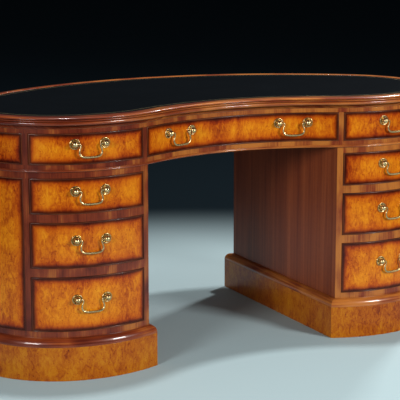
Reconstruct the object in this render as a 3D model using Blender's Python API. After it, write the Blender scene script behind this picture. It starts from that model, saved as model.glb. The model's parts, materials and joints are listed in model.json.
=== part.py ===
# Kidney desk with a leather top, a three-drawer frieze and two three-drawer pedestals.
# Metres, +Z up. The user sits on the -Y side, X runs from left to right, the floor is z = 0.
# Everything follows one kidney-shaped line, the frieze line, at named offsets from it.

import math

import bmesh
import bpy
from mathutils import Matrix, Vector

# The frieze line, right half, from the front centre round to the back centre.
hollow_radius = 0.6712
bow_radius = 0.3864
end_radius = 0.2913
hollow_half_deg = 27.08
bow_end_deg = 12.26
end_end_deg = 139.6
# Largest distance between the curved line and the flat facets that stand for it.
line_error = 0.0019

# Widths along X.
kneehole_half = 0.328
inner_stile = 0.0175
side_opening = 0.3415
divider_width = 0.0145
end_stile = 0.0165

# Heights, from the floor up.
plinth_height = 0.1018
plinth_mould_height = 0.024
foot_rail = 0.0177
drawer_heights = (0.1633, 0.1362, 0.1048)
drawer_rails = (0.0254, 0.0242)
head_rail = 0.017
frieze_foot = 0.0213
frieze_opening = 0.0908
frieze_head = 0.013
top_frame_height = 0.0116
top_edge_height = 0.0236

# Thicknesses and steps.
seat_gap = 0.0003
wall = 0.018
plinth_step = 0.0218
plinth_wall = 0.036
top_overhang = 0.0206
top_margin = 0.037
top_frame_inset = 0.006
leather_thickness = 0.0016
base_board = 0.010
guide_wall = 0.012
runner_width = 0.013
runner_height = 0.012
overrun = 0.05

# Frieze bead, cock-beads and panels.
bead_height = 0.0075
bead_stand = 0.0055
cock_width = 0.0034
cock_stand = 0.0018
back_stile_half = 0.009

# Drawers. A box's back gap is its nearest distance to the carcass's back wall.
front_clearance = 0.0008
front_thickness = 0.018
box_clearance = 0.002
box_head_clearance = 0.006
box_side = 0.010
box_bottom = 0.006
side_box_back_gap = 0.0527
centre_box_back_gap = 0.0917

# Handles.
handle_spacing = 0.092
handle_rise = 0.0145
centre_handle_share = 0.58
ball_stand = 0.011
ball_radius = 0.0092
rose_radius = 0.0155
rose_land = 0.0016
rose_height = 0.0034
neck_radius = 0.0044
shank_radius = 0.0022
shank_reach = 0.004
shank_hole_radius = 0.0029
pin_depth = 0.0024
pin_end_gap = 0.0006
pin_hole_radius = 0.0028
bail_drop = 0.0385
bail_end_radius = 0.0019
bail_grip_radius = 0.0032
post_sides = 8
bail_sides = 6
hole_sides = 6

# Half of the bail's centre line: shares of half the spacing, and of the drop.
bail_shares = (
    (0.71, 0.0), (0.63, 0.09), (0.655, 0.27), (0.72, 0.48), (0.71, 0.74), (0.51, 0.95), (0.0, 1.0),
)
# The ball's section: shares of its radius out from the post's axis, and along it from the centre.
ball_shares = ((0.80, -0.60), (1.0, 0.0), (0.80, 0.60), (0.36, 0.93))
# The rose's section out to its rim: shares of its radius, and of its height.
rose_shares = ((1.0, 0.0), (0.86, 1.0))
# Height of the rose's dish at the neck, as a share of the rose's height.
rose_dish_share = 0.35
# Outline of the top's edge, three reeds: shares of the overhang outwards and of the height down.
top_reed_shares = (
    (0.42, 0.0), (0.90, 0.09), (0.98, 0.2), (0.84, 0.31), (1.0, 0.42), (0.84, 0.54), (1.0, 0.75), (0.76, 1.0),
)
# Outline of the plinth's moulding: shares of its step outwards and of its height up.
plinth_mould_shares = ((1.0, 0.0), (1.0, 0.20), (0.84, 0.62), (0.40, 0.94), (0.10, 1.0))
# Outline of the frieze's bead: shares of its stand outwards and of its height up.
bead_shares = ((0.0, 0.0), (0.90, 0.22), (0.90, 0.78), (0.0, 1.0))
# How far a drawer's cock-bead stands out at the drawer's very edge, as a share of its stand.
cock_edge_share = 0.4
# A facet's corner is left out where it would come this near, as a share of a facet, to an edge.
near_share = 0.3

# Heights worked out from those above.
pedestal_base = plinth_height + seat_gap
plinth_mould_top = plinth_height + plinth_mould_height
frieze_base = (plinth_mould_top + foot_rail + sum(drawer_heights) + sum(drawer_rails)
               + head_rail + seat_gap)
frieze_low = frieze_base + frieze_foot
frieze_high = frieze_low + frieze_opening
frieze_top = frieze_high + frieze_head
edge_base = frieze_top + top_frame_height
desk_height = edge_base + top_edge_height

# Distances of the openings' edges from the desk's middle.
side_inner_x = kneehole_half + inner_stile
side_outer_x = side_inner_x + side_opening
centre_half_x = side_inner_x - divider_width

solving_steps = 8
rounding = 1e-9
flat_angle = math.radians(0.05)
crease_angle = math.radians(32)


def line_arcs():
    """Arcs of the right half: centre, signed radius (negative where hollow), first and last heading."""
    hollow, bow_end, end_end = (math.radians(a) for a in (hollow_half_deg, bow_end_deg, end_end_deg))
    found = []
    x, y, heading = 0.0, 0.0, 0.0
    for radius, last in ((-hollow_radius, -hollow), (bow_radius, bow_end), (end_radius, end_end)):
        cx, cy = x - radius * math.sin(heading), y + radius * math.cos(heading)
        found.append((cx, cy, radius, heading, last))
        x, y, heading = cx + radius * math.sin(last), cy - radius * math.cos(last), last
    back_radius = x / math.sin(heading)
    cy = y + back_radius * math.cos(heading)
    found.append((0.0, cy, back_radius, heading, math.pi))
    # The desk's outermost points, a plinth or handle in front and the top at the back, lie as far from y = 0.
    lowest = found[1][1] - bow_radius - max(plinth_step, ball_stand + ball_radius)
    highest = cy + back_radius + top_overhang
    middle = (lowest + highest) / 2
    return [(cx, cy - middle, radius, first, last) for cx, cy, radius, first, last in found]


arcs = line_arcs()
arc_lengths = [abs(radius * (last - first)) for cx, cy, radius, first, last in arcs]
half_length = sum(arc_lengths)


def arc_at(length):
    """Arc on which a distance from the front centre lies, and its share of that arc."""
    rest = abs(length)
    for arc, arc_length in zip(arcs, arc_lengths):
        if rest <= arc_length:
            return arc, rest / arc_length
        rest -= arc_length
    return arcs[-1], 1.0


def line_point(length, offset=0.0):
    """Point at a distance along the line from the front centre; to the left it is negative."""
    if length > half_length:
        length -= 2 * half_length
    (cx, cy, radius, first, last), share = arc_at(length)
    heading = first + (last - first) * share
    reach = radius + offset
    return Vector((math.copysign(cx + reach * math.sin(heading), length), cy - reach * math.cos(heading), 0))


def length_at_x(x, offset=0.0, back=False):
    """Distance along the line at which the line, moved out by offset, crosses x."""
    start = 0.0
    found = []
    for (cx, cy, radius, first, last), arc_length in zip(arcs, arc_lengths):
        sine = (abs(x) - cx) / (radius + offset)
        if abs(sine) <= 1:
            heading = math.asin(sine)
            if back:
                heading = math.pi - heading
            share = (heading - first) / (last - first)
            if -rounding <= share <= 1 + rounding:
                found.append(start + arc_length * share)
        start += arc_length
    return math.copysign(found[-1] if back else found[0], x)


def y_at_x(x, offset=0.0, back=False):
    """Y at which the line, moved out by offset, crosses x."""
    return line_point(length_at_x(x, offset, back), offset).y


side_handle_length = (length_at_x(side_inner_x) + length_at_x(side_outer_x)) / 2
centre_handle_length = length_at_x(centre_half_x) * centre_handle_share
widest_length = sum(arc_lengths[:2]) + end_radius * (math.pi / 2 - arcs[2][3])
back_stile_length = sum(arc_lengths[:3])


def line_stations():
    """Distances where the right half needs a corner: openings, stiles and both sides of each rose."""
    stations = [0.0, arc_lengths[0], length_at_x(centre_half_x), length_at_x(side_inner_x),
                length_at_x(side_outer_x), length_at_x(side_outer_x) + end_stile, widest_length,
                back_stile_length - back_stile_half, back_stile_length + back_stile_half,
                length_at_x(side_inner_x, 0.0, True), length_at_x(centre_half_x, 0.0, True), half_length]
    land = rose_radius + rose_land
    for middle in (centre_handle_length, side_handle_length):
        for post in (middle - handle_spacing / 2, middle + handle_spacing / 2):
            stations += [post - land, post + land]
    return sorted(stations)


def line_grid():
    """Distances of the corners that every piece following the line shares, left to right."""
    stations = line_stations()
    lengths = []
    for first, last in zip(stations, stations[1:]):
        radius = abs(arc_at((first + last) / 2)[0][2])
        steps = math.ceil((last - first) / math.sqrt(8 * radius * line_error) - near_share)
        steps = max(1, steps)
        lengths += [first + (last - first) * k / steps for k in range(steps)]
    lengths.append(half_length)
    return [-length for length in lengths[:0:-1]] + lengths


grid = line_grid()
wrapped_grid = grid[:-1] + [length + 2 * half_length for length in grid]


def lengths_between(first, last):
    """First and last distance, with the shared corners that lie between them."""
    inner = []
    for before, length, after in zip(wrapped_grid, wrapped_grid[1:], wrapped_grid[2:]):
        near = near_share * min(length - before, after - length)
        if first + near < length < last - near:
            inner.append(length)
    return [first] + inner + [last]


def facet_point(length, offset=0.0):
    """Point at a distance along the faceted line, moved out by offset, and its facet's normal."""
    first, last = next((a, b) for a, b in zip(wrapped_grid, wrapped_grid[1:]) if length <= b)
    start, end = line_point(first, offset), line_point(last, offset)
    along = (end - start).normalized()
    return start.lerp(end, (length - first) / (last - first)), Vector((along.y, -along.x, 0))


def mesh_object(name, bm, material):
    """Named object from a bmesh, with its faces turned outwards."""
    bmesh.ops.recalc_face_normals(bm, faces=bm.faces)
    mesh = bpy.data.meshes.new(name)
    bm.to_mesh(mesh)
    bm.free()
    mesh.materials.append(material)
    obj = bpy.data.objects.new(name, mesh)
    bpy.context.scene.collection.objects.link(obj)
    return obj


def loft(name, sections, material, ring=False):
    """Solid through closed sections, each a list of points, with flat ends or joined in a ring."""
    bm = bmesh.new()
    rows = [[bm.verts.new(point) for point in section] for section in sections]
    count = len(rows[0])
    pairs = list(zip(rows, rows[1:]))
    if ring:
        pairs.append((rows[-1], rows[0]))
    for one, two in pairs:
        for k in range(count):
            j = (k + 1) % count
            bm.faces.new((one[k], one[j], two[j], two[k]))
    if not ring:
        bm.faces.new(rows[0][::-1])
        bm.faces.new(rows[-1])
    return mesh_object(name, bm, material)


def prism(name, outline, low, high, material):
    """Upright solid on a flat outline."""
    sections = [[Vector((p[0], p[1], z)) for p in outline] for z in (low, high)]
    return loft(name, sections, material)


def block(name, x_range, y_range, z_range, material):
    """Rectangular solid; each range is its two ends, in either order."""
    (x0, x1), (y0, y1) = sorted(x_range), sorted(y_range)
    return prism(name, ((x0, y0), (x1, y0), (x1, y1), (x0, y1)), *z_range, material)


def circle(centre, across, up, radius, sides):
    """Corners of a round section in the plane of two directions, with a flat side towards each."""
    turns = [2 * math.pi * (k + 0.5) / sides for k in range(sides)]
    return [centre + (across * math.cos(a) + up * math.sin(a)) * radius for a in turns]


def rod(name, start, end, radius, sides, material):
    """Straight level bar between two points."""
    up = Vector((0, 0, 1))
    across = (end - start).normalized().cross(up)
    return loft(name, [circle(p, across, up, radius, sides) for p in (start, end)], material)


def boolean(body, tool, operation):
    """Cut the tool from the body, or join it on, and remove the tool."""
    modifier = body.modifiers.new(operation.lower(), "BOOLEAN")
    modifier.operation = operation
    modifier.solver = "EXACT"
    modifier.object = tool
    graph = bpy.context.evaluated_depsgraph_get()
    mesh = bpy.data.meshes.new_from_object(body.evaluated_get(graph))
    body.modifiers.clear()
    body.data = mesh
    bpy.data.objects.remove(tool)


def cut(body, tool):
    boolean(body, tool, "DIFFERENCE")


def join(body, tool):
    boolean(body, tool, "UNION")


def merge_flat_faces(body):
    """Join the pieces that one flat face was split into."""
    bm = bmesh.new()
    bm.from_mesh(body.data)
    bmesh.ops.dissolve_limit(bm, angle_limit=flat_angle, verts=bm.verts, edges=bm.edges)
    bm.to_mesh(body.data)
    bm.free()


def full_loop(offset):
    """Closed outline all round the desk at an offset from the line."""
    return [line_point(length, offset) for length in grid[:-1]]


def pedestal_loop(side, offset):
    """Closed outline round a pedestal: the line round the end, and the straight kneehole side."""
    near, far = length_at_x(side_inner_x), length_at_x(side_inner_x, 0.0, True)
    corner_x = kneehole_half - offset
    lengths = ([length_at_x(corner_x, offset)] + [length for length in grid if near <= length <= far]
               + [length_at_x(corner_x, offset, True)])
    points = [line_point(length, offset) for length in lengths]
    return [Vector((side * max(point.x, corner_x), point.y, 0)) for point in points]


def ring_of_profile(name, loop, profile, material):
    """Ring whose section is a list of (offset, height) round a loop."""
    loops = [[Vector((p.x, p.y, z)) for p in loop(offset)] for offset, z in profile]
    return loft(name, list(zip(*loops)), material, ring=True)


def solid_of_profile(name, loop, profile, material):
    """Solid whose side has the profile (offset, height), closed flat above and below."""
    sections = [[Vector((p.x, p.y, z)) for p in loop(offset)] for offset, z in profile]
    return loft(name, sections, material)


def material_of(name, colour, roughness, metallic=0.0):
    """Plain material for one piece."""
    material = bpy.data.materials.new(name)
    material.use_nodes = True
    shader = material.node_tree.nodes["Principled BSDF"]
    shader.inputs["Base Color"].default_value = (*colour, 1)
    shader.inputs["Roughness"].default_value = roughness
    shader.inputs["Metallic"].default_value = metallic
    return material


def burr_material(name):
    return material_of(name, (0.55, 0.22, 0.05), 0.25)


def mahogany_material(name):
    return material_of(name, (0.22, 0.06, 0.03), 0.28)


def oak_material(name):
    return material_of(name, (0.52, 0.36, 0.20), 0.6)


def brass_material(name):
    return material_of(name, (0.78, 0.58, 0.24), 0.25, 1.0)


def leather_material(name):
    return material_of(name, (0.012, 0.013, 0.014), 0.42)


def bead_offset(place, row_place, edge_share):
    """How far a beaded face stands out where a column and a row of its grid cross."""
    if "plain" in (place, row_place):
        return 0.0
    if "edge" in (place, row_place):
        return cock_stand * edge_share
    return cock_stand if "peak" in (place, row_place) else 0.0


def bead_columns(first, last):
    """Distances along a beaded face, each with its place: edge or peak of the bead, or inside it."""
    inside = lengths_between(first + cock_width, last - cock_width)
    return ([(first, "edge"), (first + cock_width / 2, "peak")]
            + [(length, "inside") for length in inside]
            + [(last - cock_width / 2, "peak"), (last, "edge")])


def bead_rows(low, high):
    """Heights up a beaded face, each with its place."""
    return ((low, "edge"), (low + cock_width / 2, "peak"), (low + cock_width, "inside"),
            (high - cock_width, "inside"), (high - cock_width / 2, "peak"), (high, "edge"))


def beaded_section(length, place, rows, edge_share):
    """Points up a beaded face at one distance along the line."""
    section = []
    for z, row_place in rows:
        point = facet_point(length, bead_offset(place, row_place, edge_share))[0]
        section.append(Vector((point.x, point.y, z)))
    return section


def beaded_solid(name, columns, corners, heights, material):
    """Solid carcass along the line, then round any corners off the line, with beads on its sides."""
    base, low, high, top = heights
    rows = ((base, "plain"), *bead_rows(low, high), (top, "plain"))
    sections = [beaded_section(length, place, rows, 0.0) for length, place in columns]
    sections += [[Vector((*corner, z)) for z, row_place in rows] for corner in corners]
    return loft(name, list(zip(*sections)), material)


def hollow_out(body, outline, base):
    """Hollow a carcass from its top down to its base board."""
    cut(body, prism("hollow", outline, base + base_board, desk_height, body.data.materials[0]))


def wall_columns(panels, lengths):
    """Columns of a carcass wall: its beaded panels, and the line's corners between them."""
    columns = []
    for first, last in panels:
        columns += bead_columns(first, last)
    for length in lengths:
        if not any(first - rounding <= length <= last + rounding for first, last in panels):
            columns.append((length, "plain"))
    return sorted(columns)


def fixed_panels(side):
    """First and last distance of one side's end panel and back panel."""
    end = (length_at_x(side_outer_x) + end_stile, back_stile_length - back_stile_half)
    back = (back_stile_length + back_stile_half, length_at_x(side_inner_x, 0.0, True))
    return [tuple(sorted((side * first, side * last))) for first, last in (end, back)]


def join_strip(body, x_range, z_range):
    """Join on an upright or level strip that runs from the front wall to the back wall."""
    x = sum(x_range) / 2
    ys = (y_at_x(x, -wall / 2), y_at_x(x, -wall / 2, True))
    join(body, block("strip", x_range, ys, z_range, body.data.materials[0]))


def join_runners(body, x_range, low):
    """Join on the two runners that carry a drawer in the opening between two x, its base at low."""
    left, right = sorted(x_range)
    z_range = (low - runner_height, low)
    join_strip(body, (left - seat_gap, left + runner_width), z_range)
    join_strip(body, (right - runner_width, right + seat_gap), z_range)


def cut_opening(body, x_range, z_range):
    """Cut a drawer's opening square through the front wall."""
    edges = [y_at_x(x, -wall) for x in x_range]
    foremost = arcs[1][1] - bow_radius - overrun
    deepest = max(edges + [y_at_x(sum(x_range) / 2, -wall)]) + seat_gap
    cut(body, block("opening", x_range, (foremost, deepest), z_range, body.data.materials[0]))


def side_range(side, near_x, far_x):
    return side * near_x, side * far_x


def make_top():
    """Board with a recessed frame under it, moulded edge and writing leather."""
    leather_edge = top_overhang - top_margin
    leather_base = desk_height - leather_thickness
    board_edge = leather_edge - seat_gap
    frame_edge = -top_frame_inset
    board_profile = ((frame_edge, frieze_top + seat_gap), (frame_edge, edge_base - seat_gap),
                     (board_edge, edge_base - seat_gap), (board_edge, leather_base - seat_gap))
    solid_of_profile("top_board", full_loop, board_profile, mahogany_material("top_board"))
    edge_profile = [(leather_edge, edge_base), (leather_edge, desk_height)]
    for out_share, down_share in top_reed_shares:
        edge_profile.append((top_overhang * out_share, desk_height - top_edge_height * down_share))
    ring_of_profile("top_edge_moulding", full_loop, edge_profile, mahogany_material("top_edge_moulding"))
    leather_profile = ((board_edge, leather_base), (board_edge, desk_height))
    solid_of_profile("writing_leather", full_loop, leather_profile, leather_material("writing_leather"))


def make_frieze():
    """Frieze: wall with beaded panels, base board, partitions, runners, three openings and a bead."""
    panels = fixed_panels(-1) + fixed_panels(1)
    divider = length_at_x(centre_half_x, 0.0, True)
    panels.append((divider, 2 * half_length - divider))
    heights = (frieze_base, frieze_low, frieze_high, frieze_top)
    columns = wall_columns(panels, [length for length in grid if -divider < length < divider])
    frieze = beaded_solid("frieze_carcass", columns, (), heights, mahogany_material("frieze_carcass"))
    hollow_out(frieze, full_loop(-wall), frieze_base)
    partition_z = (frieze_base, frieze_high)
    for side in (-1, 1):
        join_strip(frieze, side_range(side, centre_half_x, side_inner_x), partition_z)
        join_strip(frieze, side_range(side, side_outer_x, side_outer_x + guide_wall), partition_z)
        join_runners(frieze, side_range(side, side_inner_x, side_outer_x), frieze_low)
    join_runners(frieze, (-centre_half_x, centre_half_x), frieze_low)
    opening_z = (frieze_low, frieze_high)
    for side in (-1, 1):
        cut_opening(frieze, side_range(side, side_inner_x, side_outer_x), opening_z)
    cut_opening(frieze, (-centre_half_x, centre_half_x), opening_z)
    merge_flat_faces(frieze)
    bead_profile = [(seat_gap + bead_stand * out_share, frieze_base + bead_height * up_share)
                    for out_share, up_share in bead_shares]
    ring_of_profile("frieze_bead", full_loop, bead_profile, mahogany_material("frieze_bead"))


def pedestal_openings():
    """Lowest and highest point of a pedestal's drawer openings, from the bottom drawer up."""
    low = plinth_mould_top + foot_rail
    openings = []
    for height, rail in zip(drawer_heights, (*drawer_rails, head_rail)):
        openings.append((low, low + height))
        low += height + rail
    return openings


def make_pedestal(side):
    """Pedestal carcass: wall with beaded panels, base board, drawer guide, runners and openings."""
    name = f"{side_name(side)}_pedestal"
    openings = pedestal_openings()
    near, far = length_at_x(side_inner_x), length_at_x(side_inner_x, 0.0, True)
    lengths = [side * length for length in grid if near <= length <= far]
    corners = [(side * kneehole_half, y_at_x(kneehole_half, 0.0, back)) for back in (True, False)]
    heights = (pedestal_base, openings[0][0], openings[-1][1], frieze_base - seat_gap)
    pedestal = beaded_solid(name, wall_columns(fixed_panels(side), lengths), corners[::side], heights,
                            mahogany_material(name))
    inside = [line_point(length, -wall) for length in sorted(lengths)]
    inside = [point for point in inside if abs(point.x) > side_inner_x + seat_gap]
    corners = [(side * side_inner_x, y_at_x(side_inner_x, -wall, back)) for back in (True, False)]
    hollow_out(pedestal, inside + corners[::side], pedestal_base)
    guide = side_range(side, side_outer_x, side_outer_x + guide_wall)
    join_strip(pedestal, guide, (pedestal_base, openings[-1][1]))
    opening_x = side_range(side, side_inner_x, side_outer_x)
    for low, high in openings:
        join_runners(pedestal, opening_x, low)
        cut_opening(pedestal, opening_x, (low, high))
    merge_flat_faces(pedestal)


def make_plinth(side):
    """Plinth frame under a pedestal, and the moulding that runs round the pedestal's foot on it."""
    def loop(offset):
        return pedestal_loop(side, offset)

    name = f"{side_name(side)}_plinth"
    inner = plinth_step - plinth_wall
    frame = ((plinth_step, 0), (plinth_step, plinth_height), (inner, plinth_height), (inner, 0))
    ring_of_profile(name, loop, frame, burr_material(name))
    profile = [(seat_gap, plinth_mould_top), (seat_gap, pedestal_base)]
    for out_share, up_share in plinth_mould_shares:
        profile.append((plinth_step * out_share, pedestal_base + (plinth_mould_height - seat_gap) * up_share))
    ring_of_profile(f"{name}_moulding", loop, profile, mahogany_material(f"{name}_moulding"))


def front_columns(x_range):
    """Columns of a drawer's front with the distances of its inner face's corners behind them."""
    x0, x1 = min(x_range) + front_clearance, max(x_range) - front_clearance
    first, last = length_at_x(x0), length_at_x(x1)
    inner_first, inner_last = (length_at_x(x, -front_thickness) for x in (x0, x1))
    columns = []
    for length, place in bead_columns(first, last):
        share = (length - first) / (last - first)
        columns.append((length, place, inner_first + share * (inner_last - inner_first)))
    return columns


def make_front(name, x_range, z_range):
    """Bowed or hollow drawer front with a cock-bead round it and its ends square to X."""
    low, high = z_range[0] + front_clearance, z_range[1] - front_clearance
    sections = []
    for length, place, inner_length in front_columns(x_range):
        inner = line_point(inner_length, -front_thickness)
        sections.append(beaded_section(length, place, bead_rows(low, high), cock_edge_share)
                        + [Vector((inner.x, inner.y, z)) for z in (high, low)])
    return loft(name, sections, burr_material(name))


def make_box(name, x_range, z_range, back_gap):
    """Drawer box of two sides, a back and a bottom, with its front edges fitted to the curved front."""
    material = oak_material(name)
    x0, x1 = min(x_range) + box_clearance, max(x_range) - box_clearance
    z0, z1 = z_range[0] + seat_gap, z_range[1] - box_head_clearance
    outermost = max(abs(x) for x in x_range)
    back = y_at_x(outermost, -wall, True) - back_gap
    foremost = arcs[1][1] - bow_radius - overrun
    box = block(name, (x0, x1), (foremost, back), (z0, z1), material)
    inside = block("inside", (x0 + box_side, x1 - box_side), (foremost - overrun, back - box_side),
                   (z0 + box_bottom, z1 + overrun), material)
    cut(box, inside)
    fitted = [line_point(inner_length, -front_thickness - seat_gap)
              for length, place, inner_length in front_columns(x_range)]
    ends = [Vector((p.x, foremost - overrun, 0)) for p in (fitted[-1], fitted[0])]
    cut(box, prism("front", fitted + ends, z0 - overrun, z1 + overrun, material))
    merge_flat_faces(box)
    return box


def post_feet(middle):
    """Where a handle's two posts stand on the front, left then right: points and facet normals."""
    reach = handle_spacing / 2
    for step in range(solving_steps):
        feet = [facet_point(middle - reach), facet_point(middle + reach)]
        left, right = (point + normal * ball_stand for point, normal in feet)
        reach *= handle_spacing / (right - left).length
    return feet


def make_post(name, foot, normal, inward, front, material):
    """Shank, dished rose, neck and ball on one axis, the ball drilled towards the other post."""
    ball = foot + normal * ball_stand
    neck_top = ball_stand - math.sqrt(ball_radius ** 2 - neck_radius ** 2)
    profile = [(shank_radius, -front_thickness - shank_reach), (shank_radius, seat_gap)]
    profile += [(rose_radius * r, seat_gap + rose_height * h) for r, h in rose_shares]
    profile += [(neck_radius, seat_gap + rose_height * rose_dish_share), (neck_radius, neck_top)]
    profile += [(ball_radius * r, ball_stand + ball_radius * h) for r, h in ball_shares]
    up = Vector((0, 0, 1))
    across = normal.cross(up)
    sections = [circle(foot + normal * h, across, up, r, post_sides) for r, h in profile]
    post = loft(name, sections, material)
    deepest = ball_radius - pin_depth - pin_end_gap
    cut(post, rod("hole", ball + inward * deepest, ball + inward * 2 * ball_radius,
                  pin_hole_radius, hole_sides, material))
    start = foot - normal * (front_thickness + overrun)
    cut(front, rod("hole", start, foot + normal * overrun, shank_hole_radius, hole_sides, material))
    return post


def bail_mesh():
    """Swan-neck bail hanging in its own XZ plane, its pins on the X axis."""
    half = [((handle_spacing / 2 - ball_radius + pin_depth), 0.0)]
    half += [(across * handle_spacing / 2, -down * bail_drop) for across, down in bail_shares]
    path = half + [(-x, z) for x, z in half[-2::-1]]
    points = [Vector((x, 0, z)) for x, z in path]
    depth = Vector((0, 1, 0))
    sections = []
    for k, point in enumerate(points):
        before, after = points[max(k - 1, 0)], points[min(k + 1, len(points) - 1)]
        across = (after - before).normalized().cross(depth)
        share = -point.z / bail_drop
        radius = bail_end_radius + (bail_grip_radius - bail_end_radius) * share
        sections.append(circle(point, across, depth, radius, bail_sides))
    bail = loft("bail", sections, brass_material("bail"))
    mesh = bail.data
    bpy.data.objects.remove(bail)
    return mesh


def make_handle(name, middle, height, front, bails):
    """Two posts through the front and the bail between their balls; returns all three."""
    rise = Vector((0, 0, height))
    (left_foot, left_normal), (right_foot, right_normal) = post_feet(middle)
    left, right = left_foot + left_normal * ball_stand, right_foot + right_normal * ball_stand
    hinge = (left - right).normalized()
    posts = []
    for end, foot, normal, inward in (("left", left_foot, left_normal, -hinge),
                                      ("right", right_foot, right_normal, hinge)):
        post_name = f"{name}_post_{end}"
        posts.append(make_post(post_name, foot + rise, normal, inward, front, brass_material(post_name)))
    bail = bpy.data.objects.new(f"{name}_bail", bails.copy())
    bail.data.materials[0] = brass_material(bail.name)
    bpy.context.scene.collection.objects.link(bail)
    up = Vector((0, 0, 1))
    bail.matrix_world = (Matrix.Translation((left + right) / 2 + rise)
                         @ Matrix((hinge, up.cross(hinge), up)).transposed().to_4x4())
    return posts + [bail]


def side_name(side):
    return "left" if side < 0 else "right"


def drawer_list():
    """Each drawer's name, opening across and up, back gap, and its handles' names and places."""
    frieze_z = (frieze_low, frieze_high)
    centre = [(f"frieze_centre_{side_name(side)}", side * centre_handle_length) for side in (-1, 1)]
    drawers = [("frieze_centre", (-centre_half_x, centre_half_x), frieze_z, centre_box_back_gap, centre)]
    for side in (-1, 1):
        openings = [(f"{side_name(side)}_{level}", z_range)
                    for level, z_range in zip(("lower", "middle", "upper"), pedestal_openings())]
        for name, z_range in [(f"frieze_{side_name(side)}", frieze_z)] + openings:
            x_range = side_range(side, side_inner_x, side_outer_x)
            handles = [(name, side * side_handle_length)]
            drawers.append((name, x_range, z_range, side_box_back_gap, handles))
    return drawers


def make_drawer(name, x_range, z_range, back_gap, handles, bails):
    """Front, box, posts and bails under one empty that slides along Y."""
    height = sum(z_range) / 2
    front = make_front(f"{name}_front", x_range, z_range)
    pieces = [front, make_box(f"{name}_box", x_range, z_range, back_gap)]
    for handle, middle in handles:
        pieces += make_handle(handle, middle, height + handle_rise, front, bails)
    merge_flat_faces(front)
    slide = bpy.data.objects.new(f"{name}_slide", None)
    slide.location = (sum(x_range) / 2, y_at_x(sum(x_range) / 2), height)
    bpy.context.scene.collection.objects.link(slide)
    bpy.context.view_layer.update()
    for piece in pieces:
        piece.parent = slide
        piece.matrix_parent_inverse = slide.matrix_world.inverted()


def main():
    for old in list(bpy.data.objects):
        bpy.data.objects.remove(old)
    make_top()
    make_frieze()
    for side in (-1, 1):
        make_pedestal(side)
        make_plinth(side)
    bails = bail_mesh()
    for drawer in drawer_list():
        make_drawer(*drawer, bails)
    for obj in bpy.data.objects:
        if obj.type == "MESH":
            obj.data.shade_smooth()
            obj.data.set_sharp_from_angle(angle=crease_angle)


main()
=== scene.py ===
# Looks of the kidney desk: veneers, mouldings, leather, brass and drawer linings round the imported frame.
# Metres, +Z up, the user sits on the -Y side.

import json
import random
from math import asin, atan2, ceil, copysign, cos, dist, pi, radians, sin, sqrt

import bmesh
import bpy
from mathutils import Matrix, Vector


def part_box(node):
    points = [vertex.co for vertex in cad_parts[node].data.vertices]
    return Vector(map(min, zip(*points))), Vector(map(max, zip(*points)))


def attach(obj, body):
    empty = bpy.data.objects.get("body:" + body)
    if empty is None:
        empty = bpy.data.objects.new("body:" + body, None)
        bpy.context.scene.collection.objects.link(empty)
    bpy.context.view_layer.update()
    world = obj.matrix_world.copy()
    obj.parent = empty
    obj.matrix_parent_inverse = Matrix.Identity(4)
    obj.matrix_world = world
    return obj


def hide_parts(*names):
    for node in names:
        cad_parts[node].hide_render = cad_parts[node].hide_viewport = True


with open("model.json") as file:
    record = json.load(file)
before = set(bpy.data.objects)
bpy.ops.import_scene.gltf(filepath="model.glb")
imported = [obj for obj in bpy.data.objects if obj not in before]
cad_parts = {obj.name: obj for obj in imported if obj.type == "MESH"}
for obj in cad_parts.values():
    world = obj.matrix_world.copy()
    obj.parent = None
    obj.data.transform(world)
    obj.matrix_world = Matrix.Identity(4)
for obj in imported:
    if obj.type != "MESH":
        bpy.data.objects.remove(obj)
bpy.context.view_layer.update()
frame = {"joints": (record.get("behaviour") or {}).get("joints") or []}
leaves = random.Random(7)  # where each board is cut from its veneer
leafSpread = 20


# The kidney line that everything follows, and the widths along X that divide it
deskLine = {
    "hollowRadius": 0.6712,
    "bowRadius": 0.3864,
    "endRadius": 0.2913,
    "hollowHalfDeg": 27.08,
    "bowEndDeg": 12.26,
    "endEndDeg": 139.6,
    "topOverhang": 0.0206,
    "facet": 0.007,
    "slack": 1e-9,  # share of an arc past its end that still counts as on it
}
layout = {
    "kneeholeHalf": 0.328,
    "innerStile": 0.0175,
    "sideOpening": 0.3415,
    "dividerWidth": 0.0145,
    "endStile": 0.0165,
    "backStileHalf": 0.009,
    "wall": 0.018,
    "frontClearance": 0.0008,
}
sideInnerX = layout["kneeholeHalf"] + layout["innerStile"]
sideOuterX = sideInnerX + layout["sideOpening"]
centreHalfX = sideInnerX - layout["dividerWidth"]
wall = layout["wall"]


def lineArcs():
    # right half: centre, signed radius (negative where hollow), first and last heading
    radii = (-deskLine["hollowRadius"], deskLine["bowRadius"], deskLine["endRadius"])
    ends = (-deskLine["hollowHalfDeg"], deskLine["bowEndDeg"], deskLine["endEndDeg"])
    found = []
    x, y, heading = 0.0, 0.0, 0.0
    for radius, last in zip(radii, map(radians, ends)):
        cx, cy = x - radius * sin(heading), y + radius * cos(heading)
        found.append((cx, cy, radius, heading, last))
        x, y, heading = cx + radius * sin(last), cy - radius * cos(last), last
    backRadius = x / sin(heading)
    cy = y + backRadius * cos(heading)
    found.append((0.0, cy, backRadius, heading, pi))
    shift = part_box("top_edge_moulding")[1].y - (cy + backRadius + deskLine["topOverhang"])
    return [(cx, cy + shift, radius, first, last) for cx, cy, radius, first, last in found]


arcs = lineArcs()
arcLengths = [abs(radius * (last - first)) for cx, cy, radius, first, last in arcs]
halfLength = sum(arcLengths)
backStileLength = sum(arcLengths[:3])


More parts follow.
